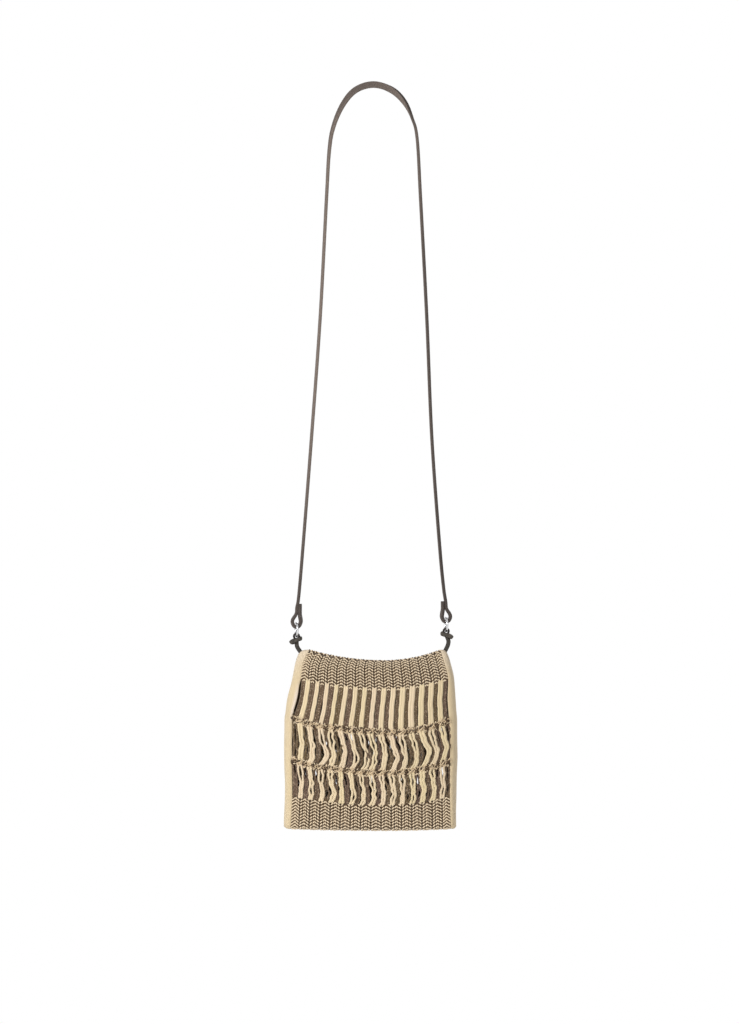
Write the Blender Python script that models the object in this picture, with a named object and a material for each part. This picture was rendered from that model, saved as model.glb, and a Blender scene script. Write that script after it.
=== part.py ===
# Crossbody net bag, hanging by its strap. Metres, +Z up, +X to the right as seen from the front, which faces
# -Y. The origin is where a hook would touch: under the crown of the strap.

import math
import random
from collections import namedtuple

import bmesh
import bpy
from mathutils import Matrix, Vector

GAP = 0.0009  # left between the cut edges of cloths that are sewn together

# The net cloth: one strip of knitted net that runs down the front, under the base and up the back
STRANDS = 31  # side by side across the cloth, dark and cream in turn, dark at both edges
DARK_WIDE = 1.14  # of a dark strand and a cream one, as shares of their mean
CREAM_WIDE = 0.86
CLOTH_THICK = 0.0022
KNOT_THICK = 0.0044
SLIT_SHARE = 0.16  # of a strand's width that is open where the strands leave a knitted band
SLIT_SHARE_MIDDLE = 0.34  # and half way down
RIB_RISE = 0.0006  # how far the dark ribs stand out
LOWEST_ACROSS = 0.57  # where the cloth sags lowest, as a share of its width
CROWN_POWER = 2.6  # how flat the cloth is between its rounded sides
SWAY_WAVE = 0.0010  # slow drift of the strands' sway across the cloth
SWAY_JITTER = 0.0004
SEAM_FADE = 8  # how soon the sway dies out near the right seam
BOW_JITTER = 0.0006

# Heights of the cloth. Columns: height at the lowest point and at the two seams, net's left and right edge,
# half depth at the middle and at the seams, gap from net to gusset left and right, swell of each gusset.
Level = namedtuple("Level", "z_low z_ends left right deep deep_ends gap_l gap_r swell_l swell_r")
RIM = Level(-0.6143, -0.6030, -0.0674, 0.0728, 0.0105, 0.0050, GAP, GAP, 0.0104, 0.0060)
SHOULDER = Level(-0.6225, -0.6165, -0.0738, 0.0768, 0.0185, 0.0090, GAP, GAP, 0.0070, 0.0050)
STRIPES_TOP = Level(-0.6436, -0.6329, -0.0764, 0.0808, 0.0240, 0.0140, GAP, GAP, 0.0074, 0.0048)
STRIPES_MIDDLE = Level(-0.6650, -0.6543, -0.0798, 0.0800, 0.0252, 0.0160, 0.0036, 0.0012, 0.0069, 0.0072)
KNOTS_A_TOP = Level(-0.6862, -0.6722, -0.0850, 0.0815, 0.0265, 0.0175, GAP, GAP, 0.0066, 0.0072)
KNOTS_A_END = Level(-0.6898, -0.6757, -0.0856, 0.0820, 0.0268, 0.0178, GAP, GAP, 0.0067, 0.0070)
KNOTS_B_TOP = Level(-0.7300, -0.7167, -0.0861, 0.0828, 0.0275, 0.0190, GAP, GAP, 0.0068, 0.0066)
KNOTS_B_END = Level(-0.7336, -0.7203, -0.0861, 0.0828, 0.0275, 0.0190, GAP, GAP, 0.0068, 0.0065)
WELT_TOP = Level(-0.7672, -0.7581, -0.0856, 0.0827, 0.0255, 0.0185, GAP, GAP, 0.0064, 0.0054)
HEM = Level(-0.7905, -0.7885, -0.0870, 0.0835, 0.0235, 0.0180, GAP, GAP, 0.0060, 0.0044)
BASE_EDGE = Level(-0.7938, -0.7920, -0.0872, 0.0835, 0.0195, 0.0150, GAP, GAP, 0.0044, 0.0038)
BASE_MIDDLE = Level(-0.7945, -0.7930, -0.0872, 0.0835, 0.0, 0.0, GAP, GAP, 0.0, 0.0)

# Stretches of the cloth from the mouth down. Columns: upper and lower level, steps on the front and on the
# back, whether it is open strands, and how far those swing to the right and belly out half way.
Stretch = namedtuple("Stretch", "top end steps back_steps strands sway bow")
STRETCHES = (
    Stretch(RIM, SHOULDER, 1, 1, False, 0.0, 0.0),
    Stretch(SHOULDER, STRIPES_TOP, 1, 1, False, 0.0, 0.0),
    Stretch(STRIPES_TOP, STRIPES_MIDDLE, 1, 1, True, 0.0, 0.0),
    Stretch(STRIPES_MIDDLE, KNOTS_A_TOP, 1, 1, True, 0.0, 0.0),
    Stretch(KNOTS_A_TOP, KNOTS_A_END, 1, 1, False, 0.0, 0.0),
    Stretch(KNOTS_A_END, KNOTS_B_TOP, 4, 2, True, 0.0042, 0.0045),
    Stretch(KNOTS_B_TOP, KNOTS_B_END, 1, 1, False, 0.0, 0.0),
    Stretch(KNOTS_B_END, WELT_TOP, 4, 2, True, 0.0016, 0.0035),
    Stretch(WELT_TOP, HEM, 1, 1, False, 0.0, 0.0),
    Stretch(HEM, BASE_EDGE, 1, 1, False, 0.0, 0.0),
    Stretch(BASE_EDGE, BASE_MIDDLE, 1, 1, False, 0.0, 0.0),
)
KNOT_LEVELS = (KNOTS_A_TOP, KNOTS_A_END, KNOTS_B_TOP, KNOTS_B_END)

# The two side gussets, of plain cream knit
GUSSET_THICK = 0.0018
GUSSET_STEPS = 8  # across, from the front seam to the back seam
GUSSET_DIP = 0.0052  # how far its top edge drops between the seams, where the lace comes out
DIP_POWER = 4  # and how much of that lies half way round
GUSSET_POWER = 2.4  # how boxy its bowed section is
GUSSET_LEVELS = (RIM, SHOULDER, STRIPES_TOP, STRIPES_MIDDLE, KNOTS_A_TOP, KNOTS_B_TOP, WELT_TOP, HEM, BASE_EDGE)
GUSSET_FOOT = 0.0012  # the last of its swell, where it meets the base

# The strap: one flat length of leather, turned back on itself round a ring at each end
STRAP_WIDE = 0.0070
STRAP_THICK = 0.0032
STRAP_CHAMFER = 0.0008
# From the left loop over the crown to the right one: where the strap runs, and by how many degrees its broad
# side turns to the front. It turns over once on the way.
StrapPoint = namedtuple("StrapPoint", "across up turn")
STRAP_LINE = (
    StrapPoint(-0.0789, -0.5452, 6.0),
    StrapPoint(-0.0745, -0.4938, 6.0),
    StrapPoint(-0.0653, -0.3761, 7.0),
    StrapPoint(-0.0560, -0.2477, 7.0),
    StrapPoint(-0.0492, -0.1193, 8.0),
    StrapPoint(-0.0462, -0.0679, 12.0),
    StrapPoint(-0.0419, -0.0433, 20.0),
    StrapPoint(-0.0320, -0.0199, 36.0),
    StrapPoint(-0.0182, -0.0034, 57.0),
    StrapPoint(0.0011, 0.0029, 78.0),
    StrapPoint(0.0205, -0.0032, 112.0),
    StrapPoint(0.0340, -0.0165, 148.0),
    StrapPoint(0.0424, -0.0337, 178.0),
    StrapPoint(0.0478, -0.0560, 177.0),
    StrapPoint(0.0514, -0.1193, 174.0),
    StrapPoint(0.0581, -0.2477, 173.0),
    StrapPoint(0.0635, -0.3761, 174.0),
    StrapPoint(0.0720, -0.4938, 173.0),
    StrapPoint(0.0766, -0.5410, 174.0),
)
# One end loop, from near the strap's cut end round to where it runs on, measured from the loop's lowest point,
# with the turn of its broad side in the left loop and in the right one
LoopPoint = namedtuple("LoopPoint", "outward up turn_l turn_r")
LOOP_LINE = (
    LoopPoint(-0.0043, 0.0160, 7.0, 187.0),
    LoopPoint(-0.0046, 0.0095, 15.0, 195.0),
    LoopPoint(-0.0046, 0.0055, 10.0, 193.0),
    LoopPoint(-0.0028, 0.0013, 6.0, 187.0),
    LoopPoint(0.0000, 0.0000, 5.0, 182.0),
    LoopPoint(0.0028, 0.0013, 4.0, 178.0),
    LoopPoint(0.0044, 0.0050, 4.0, 176.0),
    LoopPoint(0.0042, 0.0086, 4.0, 175.0),
    LoopPoint(0.0024, 0.0120, 4.0, 175.0),
    LoopPoint(0.0008, 0.0155, 4.0, 175.0),
    LoopPoint(-0.0002, 0.0212, 5.0, 175.0),
)
CUT_END = LoopPoint(-0.0047, 0.0, 5.0, 185.0)  # each corner has its own height for it
STRAP_STEP = 0.020  # between sections where the strap runs almost straight
BEND_STEP = 0.0024  # and round the loops
CROWN_STEP = 0.007  # and over the crown
CROWN_FROM = -0.06

# The rings and the laces that tie the bag to them. Columns: side, loop's lowest point across and up, and how far
# over it the strap's cut end lies
Corner = namedtuple("Corner", "name outward loop_x loop_z end_up")
CORNERS = (Corner("left", -1, -0.0813, -0.5785, 0.0250), Corner("right", 1, 0.0788, -0.5730, 0.0222))
RING_WIRE = 0.0022
RING_GAP = 0.0005
RING_OUTSIDE = 0.0166
RING_DROP = 0.0026  # from the middle of the strap at the loop's foot down to the ring's centre
RING_TURN = 11.0  # degrees from edge-on to the front
LACE_BROAD = 0.0046
LACE_THICK = 0.0026
LACE_SIDES = 8
LACE_STEP = 0.0030
LACE_FACE_TURN = 75.0  # degrees that its broad side turns to the front below the eye
EYE_FOOT = 0.0012  # half the eye's width where it goes into the knot
KNOT_DROP = 0.0126  # from the ring's centre to the knot's
KNOT_RADIUS = 0.0037
KNOT_WRAP = 0.0023  # radius of the turn that wraps the knot
KNOT_CORE = 0.0039
KNOT_TILT = 26.0
KNOT_FREE_END = (0.0068, -0.0024, -0.0024)  # outward, towards the back and up from the knot
# The lace below its knot, to where it is sewn inside the gusset's top. Columns: across, up.
LACE_LINES = {
    "left": ((-0.0808, -0.5987), (-0.0785, -0.6030), (-0.0742, -0.6085), (-0.0718, -0.6140)),
    "right": ((0.0812, -0.5925), (0.0808, -0.5972), (0.0785, -0.6025), (0.0756, -0.6082), (0.0734, -0.6135)),
}

COLOURS = {
    "net": ((0.42, 0.33, 0.24), 0.9, 0.0),
    "gusset": ((0.80, 0.69, 0.50), 0.9, 0.0),
    "strap": ((0.13, 0.10, 0.08), 0.5, 0.0),
    "lace": ((0.05, 0.045, 0.04), 0.45, 0.0),
    "ring": ((0.75, 0.75, 0.76), 0.2, 1.0),
}


def clear_scene():
    for obj in list(bpy.data.objects):
        bpy.data.objects.remove(obj)


def material(name):
    colour, roughness, metallic = COLOURS[name]
    made = bpy.data.materials.get(name) or bpy.data.materials.new(name)
    made.use_nodes = True
    shader = made.node_tree.nodes["Principled BSDF"]
    shader.inputs["Base Color"].default_value = (*colour, 1.0)
    shader.inputs["Roughness"].default_value = roughness
    shader.inputs["Metallic"].default_value = metallic
    return made


def add_object(name, bm, finish):
    mesh = bpy.data.meshes.new(name)
    bm.to_mesh(mesh)
    bm.free()
    obj = bpy.data.objects.new(name, mesh)
    bpy.context.scene.collection.objects.link(obj)
    mesh.materials.append(material(finish))
    mesh.shade_smooth()
    mesh.set_sharp_from_angle(angle=math.radians(50))
    return obj


def level_at(stretch, step, steps):
    if step == 0:
        return stretch.top
    if step == steps:
        return stretch.end
    return Level(*(p + (q - p) * step / steps for p, q in zip(stretch.top, stretch.end)))


def sag(across):
    """0 where the cloth hangs lowest, 1 at its two seams."""
    reach = LOWEST_ACROSS if across < LOWEST_ACROSS else 1 - LOWEST_ACROSS
    return ((across - LOWEST_ACROSS) / reach) ** 2


def rows_of_cloth():
    """Rows from the front rim down, under the base and up to the back rim, as (level, side, share of the sway,
    stretch), and for each pair of rows whether only strands join them."""
    front, opens_front = [(STRETCHES[0].top, 0.0, STRETCHES[0])], []
    for s in STRETCHES:
        for k in range(1, s.steps + 1):
            front.append((level_at(s, k, s.steps), math.sin(math.pi * k / s.steps), s))
            opens_front.append(s.strands)
    back, opens_back = [], []
    for s in reversed(STRETCHES):
        for k in range(s.back_steps - 1, -1, -1):
            back.append((level_at(s, k, s.back_steps), math.sin(math.pi * k / s.back_steps), s))
            opens_back.append(s.strands)
    rows = [(level, -1, half, s) for level, half, s in front] + [(level, 1, half, s) for level, half, s in back]
    return rows, opens_front + opens_back


def strand_edges(slit):
    """Where each strand starts and ends across the cloth, as shares of its width."""
    widths = [CREAM_WIDE if strand % 2 else DARK_WIDE for strand in range(STRANDS)]
    edges, reached = [], 0.0
    for strand, width in enumerate(widths):
        edges.append(reached + (slit / 2 if strand else 0))
        reached += width
        edges.append(reached - (slit / 2 if strand < STRANDS - 1 else 0))
    return [edge / reached for edge in edges]


def net_cloth():
    """The sheet is a grid of strands and slits, laid on the bag's form, with the slits' faces taken out."""
    rows, opens = rows_of_cloth()
    columns = 2 * STRANDS
    bm = bmesh.new()
    bmesh.ops.create_grid(bm, x_segments=columns - 1, y_segments=len(rows) - 1, size=1.0)
    grid = list(bm.verts)
    slits = []
    for face in bm.faces:
        row = min(v.index // columns for v in face.verts)
        column = min(v.index % columns for v in face.verts)
        if opens[row] and column % 2:
            slits.append(face)
    jitter = random.Random(5)
    sways = [[jitter.uniform(-SWAY_JITTER, SWAY_JITTER) for _ in range(STRANDS)] for _ in rows]
    bows = [[jitter.uniform(-BOW_JITTER, BOW_JITTER) for _ in range(STRANDS)] for _ in rows]
    for row, (level, side, half, stretch) in enumerate(rows):
        moves = stretch.strands and level not in (stretch.top, stretch.end)
        edges = strand_edges(SLIT_SHARE_MIDDLE if moves or level == STRIPES_MIDDLE else SLIT_SHARE)
        for column in range(columns):
            strand = column // 2
            across = edges[column]
            x = level.left + (level.right - level.left) * across
            z = level.z_low + (level.z_ends - level.z_low) * sag(across)
            crown = 1 - abs(2 * across - 1) ** CROWN_POWER
            depth = level.deep_ends + (level.deep - level.deep_ends) * crown
            depth += RIB_RISE * (strand % 2 == 0) * (level.deep > 0)
            if moves:
                fade = 1 - across**SEAM_FADE
                x += half * fade * (stretch.sway + SWAY_WAVE * math.sin(0.9 * strand) + sways[row][strand])
                depth += half * (stretch.bow + bows[row][strand])
            grid[row * columns + column].co = (x, side * depth, z)
    knots = [
        vert.index
        for row, (level, _, _, _) in enumerate(rows)
        for vert in grid[row * columns : (row + 1) * columns]
        if level in KNOT_LEVELS and vert.index % 4 < 2
    ]
    bmesh.ops.delete(bm, geom=slits, context="FACES_ONLY")
    bmesh.ops.recalc_face_normals(bm, faces=bm.faces)
    obj = add_object("net_cloth", bm, "net")
    group = obj.vertex_groups.new(name="thickness")
    group.add(range(len(obj.data.vertices)), CLOTH_THICK / KNOT_THICK, "REPLACE")
    group.add(knots, 1.0, "REPLACE")
    solid = obj.modifiers.new("Solidify", "SOLIDIFY")
    solid.thickness = KNOT_THICK
    solid.offset = 0.0
    solid.vertex_group = group.name
    return obj


def gusset(name, outward):
    """A bowed sheet from the front seam round to the back seam, closing under the base."""
    levels = GUSSET_LEVELS + (BASE_MIDDLE._replace(deep_ends=BASE_EDGE.deep_ends),)
    bm = bmesh.new()
    bmesh.ops.create_grid(bm, x_segments=GUSSET_STEPS, y_segments=len(levels) - 1, size=1.0)
    grid = list(bm.verts)
    for row, level in enumerate(levels):
        seam = level.left - level.gap_l if outward < 0 else level.right + level.gap_r
        swell = level.swell_l if outward < 0 else level.swell_r
        if row == len(levels) - 1:
            swell = GUSSET_FOOT
        for step in range(GUSSET_STEPS + 1):
            angle = math.pi * (step / GUSSET_STEPS - 0.5)
            bowed = abs(math.cos(angle)) ** (2 / GUSSET_POWER)
            depth = math.copysign(abs(math.sin(angle)) ** (2 / GUSSET_POWER), angle) * level.deep_ends
            dip = GUSSET_DIP * bowed**DIP_POWER if row == 0 else 0.0
            grid[row * (GUSSET_STEPS + 1) + step].co = (seam + outward * swell * bowed, depth, level.z_ends - dip)
    bmesh.ops.recalc_face_normals(bm, faces=bm.faces)
    obj = add_object(name, bm, "gusset")
    solid = obj.modifiers.new("Solidify", "SOLIDIFY")
    solid.thickness = GUSSET_THICK
    solid.offset = 0.0
    return obj


def smooth_line(points, steps):
    """A Catmull-Rom curve through the points, with a whole number of steps of about steps[i] in each span."""
    line = []
    for i in range(len(points) - 1):
        before = points[max(i - 1, 0)]
        start, end = points[i], points[i + 1]
        after = points[min(i + 2, len(points) - 1)]
        count = max(1, round((Vector(end[:3]) - Vector(start[:3])).length / steps[i]))
        for k in range(count):
            t = k / count
            line.append(
                tuple(
                    0.5 * (2 * b + (c - a) * t + (2 * a - 5 * b + 4 * c - d) * t**2 + (3 * b - a - 3 * c + d) * t**3)
                    for a, b, c, d in zip(before, start, end, after)
                )
            )
    return line + [tuple(points[-1])]


def frames_along(line):
    """A frame at each (x, y, z, turn in degrees): z runs along the line, and x is the broad way, which points
    to the back where the turn is 0."""
    places = [Vector(p[:3]) for p in line]
    frames = []
    for i, place in enumerate(places):
        along = (places[min(i + 1, len(places) - 1)] - places[max(i - 1, 0)]).normalized()
        broad = (Vector((0, 1, 0)) - along * along.y).normalized()
        broad = Matrix.Rotation(math.radians(line[i][3]), 3, along) @ broad
        turned = Matrix((broad, along.cross(broad), along)).transposed().to_4x4()
        frames.append(Matrix.Translation(place) @ turned)
    return frames


def sweep(line, outline):
    """A closed solid: the outline, as (broad, thick) pairs, extruded from frame to frame along a line."""
    frames = frames_along(line)
    bm = bmesh.new()
    face = bm.faces.new([bm.verts.new(frames[0] @ Vector((*p, 0.0))) for p in outline])
    for before, after in zip(frames, frames[1:]):
        face = bmesh.ops.extrude_discrete_faces(bm, faces=[face])["faces"][0]
        bmesh.ops.transform(bm, matrix=after @ before.inverted(), verts=face.verts)
    bmesh.ops.holes_fill(bm, edges=[e for e in bm.edges if e.is_boundary])
    bmesh.ops.recalc_face_normals(bm, faces=bm.faces)
    return bm


def oval_outline(broad, thick, sides):
    turns = [2 * math.pi * k / sides for k in range(sides)]
    return [(broad / 2 * math.cos(a), thick / 2 * math.sin(a)) for a in turns]


def loop_points(corner):
    return [
        (
            corner.loop_x + corner.outward * point.outward,
            0.0,
            corner.loop_z + point.up,
            point.turn_l if corner.outward < 0 else point.turn_r,
        )
        for point in (CUT_END._replace(up=corner.end_up), *LOOP_LINE)
    ]


def strap():
    """From the cut end of the left loop, up over the crown and down to the cut end of the right loop."""
    left, right = CORNERS
    middle = [(x, 0.0, z, turn) for x, z, turn in STRAP_LINE]
    points = loop_points(left) + middle + loop_points(right)[::-1]
    steps = []
    for a in points[:-1]:
        in_loop = a[2] < left.loop_z + left.end_up
        steps.append(BEND_STEP if in_loop else CROWN_STEP if a[2] > CROWN_FROM else STRAP_STEP)
    wide, thick, cut = STRAP_WIDE / 2, STRAP_THICK / 2, STRAP_CHAMFER
    outline = [
        (wide, -thick + cut),
        (wide, thick - cut),
        (wide - cut, thick),
        (-wide + cut, thick),
        (-wide, thick - cut),
        (-wide, -thick + cut),
        (-wide + cut, -thick),
        (wide - cut, -thick),
    ]
    return add_object("strap", sweep(smooth_line(points, steps), outline), "strap")


def ring(corner):
    bpy.ops.mesh.primitive_torus_add(
        major_segments=24,
        minor_segments=8,
        major_radius=(RING_OUTSIDE - RING_WIRE) / 2,
        minor_radius=RING_WIRE / 2,
        location=(corner.loop_x, 0.0, corner.loop_z - RING_DROP),
        rotation=(0.0, math.radians(90), math.radians(RING_TURN)),
    )
    obj = bpy.context.object
    obj.name = f"ring_{corner.name}"
    obj.data.materials.append(material("ring"))
    obj.data.shade_smooth()
    return obj


def helper(obj):
    obj.hide_render = True
    obj.display_type = "WIRE"
    return obj


def lace(corner):
    """A flat leather lace: its eye goes round the ring's foot, a turn of it knots the eye shut, and its long
    end runs down into the top of the gusset."""
    centre = Vector((corner.loop_x, 0.0, corner.loop_z - RING_DROP))
    knot = centre - Vector((0.0, 0.0, KNOT_DROP))
    eye_radius = RING_WIRE / 2 + RING_GAP + LACE_THICK / 2
    eye_centre = centre - Vector((0.0, 0.0, (RING_OUTSIDE - RING_WIRE) / 2))
    arc = [math.pi * k / 6 for k in range(7)]
    eye = [knot - Vector((EYE_FOOT, 0.0, 0.0))]
    eye += [eye_centre + eye_radius * Vector((-math.cos(a), 0.0, math.sin(a))) for a in arc]
    eye += [knot + Vector((EYE_FOOT, 0.0, 0.0))]
    long_end = [knot] + [Vector((x, 0.0, z)) for x, z in LACE_LINES[corner.name]]
    outward, back, up = KNOT_FREE_END
    free_end = [knot, knot + Vector((corner.outward * outward, back, up))]

    def tube(name, points, turn):
        line = smooth_line([(*p, turn) for p in points], [LACE_STEP] * (len(points) - 1))
        return add_object(name, sweep(line, oval_outline(LACE_BROAD, LACE_THICK, LACE_SIDES)), "lace")

    obj = tube(f"lace_{corner.name}", eye, 0.0)
    bpy.ops.mesh.primitive_torus_add(
        major_segments=12,
        minor_segments=LACE_SIDES,
        major_radius=KNOT_RADIUS,
        minor_radius=KNOT_WRAP,
        location=knot,
        rotation=(math.radians(10), math.radians(corner.outward * KNOT_TILT), 0.0),
    )
    wrap = bpy.context.object
    wrap.data.shade_smooth()
    bpy.ops.mesh.primitive_uv_sphere_add(segments=12, ring_count=6, radius=KNOT_CORE, location=knot)
    core = bpy.context.object
    core.data.shade_smooth()
    long_end = tube(f"long_end_{corner.name}", long_end, LACE_FACE_TURN)
    free_end = tube(f"free_end_{corner.name}", free_end, LACE_FACE_TURN)
    for part in (wrap, core, long_end, free_end):
        union = obj.modifiers.new("Union", "BOOLEAN")
        union.operation = "UNION"
        union.object = helper(part)
    return obj


def main():
    clear_scene()
    net_cloth()
    gusset("gusset_left", -1)
    gusset("gusset_right", 1)
    strap()
    for corner in CORNERS:
        ring(corner)
        lace(corner)


main()
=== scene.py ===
import random
from collections import namedtuple
from math import copysign, cos, exp, hypot, pi, radians, sin, sqrt

import bmesh
import bpy
from mathutils import Matrix, Vector, noise


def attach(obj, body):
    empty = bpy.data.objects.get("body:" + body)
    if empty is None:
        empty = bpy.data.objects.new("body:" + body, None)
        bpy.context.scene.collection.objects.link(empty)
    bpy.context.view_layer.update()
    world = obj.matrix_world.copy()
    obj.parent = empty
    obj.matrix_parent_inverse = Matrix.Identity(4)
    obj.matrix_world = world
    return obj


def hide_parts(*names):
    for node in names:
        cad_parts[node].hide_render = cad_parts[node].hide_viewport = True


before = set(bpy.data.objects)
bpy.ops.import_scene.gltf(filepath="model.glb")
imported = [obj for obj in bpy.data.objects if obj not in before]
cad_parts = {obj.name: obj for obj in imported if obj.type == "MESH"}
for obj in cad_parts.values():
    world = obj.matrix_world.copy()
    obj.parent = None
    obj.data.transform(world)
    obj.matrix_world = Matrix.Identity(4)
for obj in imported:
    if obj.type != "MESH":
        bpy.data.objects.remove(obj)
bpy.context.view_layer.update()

# Looks of the crossbody net bag. Metres, +Z up; the bag hangs from the origin and its front faces -Y.
print("frame loaded:", sorted(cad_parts))


# Small helpers for meshes

def newObject(name, bm, materials):
    bmesh.ops.recalc_face_normals(bm, faces=bm.faces)
    mesh = bpy.data.meshes.new(name)
    bm.to_mesh(mesh)
    bm.free()
    obj = bpy.data.objects.new(name, mesh)
    bpy.context.scene.collection.objects.link(obj)
    for used in materials:
        mesh.materials.append(used)
    mesh.shade_smooth()
    return obj


def newBmesh():
    bm = bmesh.new()
    bm.loops.layers.uv.new("UVMap")
    bm.verts.layers.float.new("tone")
    return bm


def layGrid(bm, columns, rows, place, uvSize=(1.0, 1.0), slot=0):
    # A grid of columns x rows faces, laid where place(u, v) says; place returns the point and its tone
    uvLayer = bm.loops.layers.uv.active
    toneLayer = bm.verts.layers.float["tone"]
    verts = bmesh.ops.create_grid(bm, x_segments=columns, y_segments=rows, size=0.5, calc_uvs=True)["verts"]
    for vert in verts:
        vert.co, vert[toneLayer] = place(vert.co.x + 0.5, vert.co.y + 0.5)
    faces = list(dict.fromkeys(face for vert in verts for face in vert.link_faces))
    for face in faces:
        face.material_index = slot
        for loop in face.loops:
            uv = loop[uvLayer].uv
            loop[uvLayer].uv = (uv.x * uvSize[0], uv.y * uvSize[1])
    return faces


def mergeSeams(bm):
    bmesh.ops.remove_doubles(bm, verts=bm.verts, dist=0.00001)
    bmesh.ops.dissolve_degenerate(bm, edges=bm.edges, dist=0.000005)


def catmull(a, b, c, d, t):
    return 0.5 * (2 * b + (c - a) * t + (2 * a - 5 * b + 4 * c - d) * t**2 + (3 * b - a - 3 * c + d) * t**3)


def smoothLine(points, steps):
    # Catmull-Rom through the points, with about steps[i] between samples in each span
    line = []
    for i in range(len(points) - 1):
        before, after = points[max(i - 1, 0)], points[min(i + 2, len(points) - 1)]
        start, end = points[i], points[i + 1]
        count = max(1, round((Vector(end[:3]) - Vector(start[:3])).length / steps[i]))
        for k in range(count):
            line.append(tuple(catmull(*values, k / count) for values in zip(before, start, end, after)))
    return line + [tuple(points[-1])]


def framesAlong(line, reference=(0, 1, 0)):
    # z runs along the line; x is the broad way, which points along the reference where the turn is 0
    reference = Vector(reference)
    places = [Vector(p[:3]) for p in line]
    frames = []
    for i, place in enumerate(places):
        along = (places[min(i + 1, len(places) - 1)] - places[max(i - 1, 0)]).normalized()
        broad = (reference - along * along.dot(reference)).normalized()
        broad = Matrix.Rotation(radians(line[i][3]), 3, along) @ broad
        turned = Matrix((broad, along.cross(broad), along)).transposed().to_4x4()
        frames.append(Matrix.Translation(place) @ turned)
    return frames


def lengthsAlong(line):
    # How far along the line each of its points is
    reached = [0.0]
    for a, b in zip(line, line[1:]):
        reached.append(reached[-1] + (Vector(b[:3]) - Vector(a[:3])).length)
    return reached


def sweepLine(bm, line, outline, toneOf, sides, shrink=0.0, reference=(0, 1, 0), fullness=None):
    # The closed outline, as outline(u) -> (broad, thick), carried along the line and closed at both ends,
    # where it is smaller by the share that shrink gives
    frames = framesAlong(line, reference)
    frames = [frames[0]] + frames + [frames[-1]]
    rows = len(frames) - 1
    ends = {0: 0.0, rows: 0.0, 1: 1 - shrink, rows - 1: 1 - shrink}
    pieces = 40
    perimeter = lengthsAlong([outline(k / pieces) for k in range(pieces + 1)])[-1]

    def place(u, v):
        row = round(v * rows)
        size = ends.get(row, 1.0) * (fullness(v) if fullness else 1.0)
        broad, thick = outline(u % 1.0)
        return frames[row] @ Vector((broad * size, thick * size, 0.0)), toneOf(u % 1.0, v)

    layGrid(bm, sides, rows, place, (perimeter, lengthsAlong(line)[-1]))


def flatSection(u, broad, thick, power):
    # A point on a flat section with rounded corners, as a superellipse
    angle = 2 * pi * u
    across = copysign(abs(cos(angle)) ** power, cos(angle))
    over = copysign(abs(sin(angle)) ** power, sin(angle))
    return across * broad / 2, over * thick / 2


def onEdge(u, power, share):
    # Whether the place round such a section is on one of its cut edges
    return abs(cos(2 * pi * u)) ** power > share


# Small helpers for materials

def newMaterial(name, roughness, **sockets):
    made = bpy.data.materials.new(name)
    made.use_nodes = True
    tree = made.node_tree
    shader = tree.nodes["Principled BSDF"]
    shader.inputs["Roughness"].default_value = roughness
    for socket, value in sockets.items():
        shader.inputs[socket.replace("_", " ")].default_value = value
    return made, tree, shader


def feed(tree, socket, value):
    # Links the value to the socket, or sets it there where it is a plain one
    if isinstance(value, bpy.types.NodeSocket):
        tree.links.new(value, socket)
    else:
        socket.default_value = value


def addNode(tree, kind, settings=None, **inputs):
    # Inputs go by their names, or by their places as i0, i1 and so on
    node = tree.nodes.new("ShaderNode" + kind)
    for name, value in (settings or {}).items():
        setattr(node, name, value)
    for name, value in inputs.items():
        key = int(name[1:]) if name[0] == "i" and name[1:].isdigit() else name.replace("_", " ")
        feed(tree, node.inputs[key], value)
    return node


def maths(tree, operation, a, b=0.0):
    return addNode(tree, "Math", {"operation": operation}, i0=a, i1=b).outputs[0]


def mixColours(tree, share, a, b):
    return addNode(tree, "Mix", {"data_type": "RGBA"}, i0=share, i6=a, i7=b).outputs[2]


def objectPlace(tree):
    return addNode(tree, "TexCoord").outputs["Object"]


def noiseAt(tree, place, scale, detail=2.0, roughness=0.5):
    # The scale is in waves to the metre
    return addNode(tree, "TexNoise", Vector=place, Scale=scale, Detail=detail,
                   Roughness=roughness).outputs["Fac"]


def fit(tree, value, start, end, low=0.0, high=1.0):
    # What runs from start to end comes out as low to high
    return addNode(tree, "MapRange", Value=value, From_Min=start, From_Max=end, To_Min=low,
                   To_Max=high).outputs[0]


def newGroup(name, inputs, outputs):
    # An input has either the kind of its socket or, where it is a number, the value that it starts with
    group = bpy.data.node_groups.new(name, "ShaderNodeTree")
    for label, start in inputs.items():
        kind = start if isinstance(start, str) else "Float"
        socket = group.interface.new_socket(label, in_out="INPUT", socket_type="NodeSocket" + kind)
        if kind == "Float":
            socket.default_value = start
    for label, kind in outputs.items():
        group.interface.new_socket(label, in_out="OUTPUT", socket_type="NodeSocket" + kind)
    given, out = group.nodes.new("NodeGroupInput"), group.nodes.new("NodeGroupOutput")
    return group, given.outputs, out.inputs


def useGroup(tree, group, **inputs):
    return addNode(tree, "Group", {"node_tree": group}, **inputs)


def srgb(*screen):
    # A colour as it shows on a screen, 0 to 255, turned into the linear one that a shader takes
    return tuple(((c / 255 + 0.055) / 1.055) ** 2.4 if c > 10 else c / 3294 for c in screen) + (1.0,)


# Shared effects: rows of knitted V stitches, the fibres of spun yarn, and leather grain

knitting = {
    "legPower": 0.6,  # the lower, the rounder a leg of yarn is across
    "ridgePower": 0.5,  # and along
}


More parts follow.
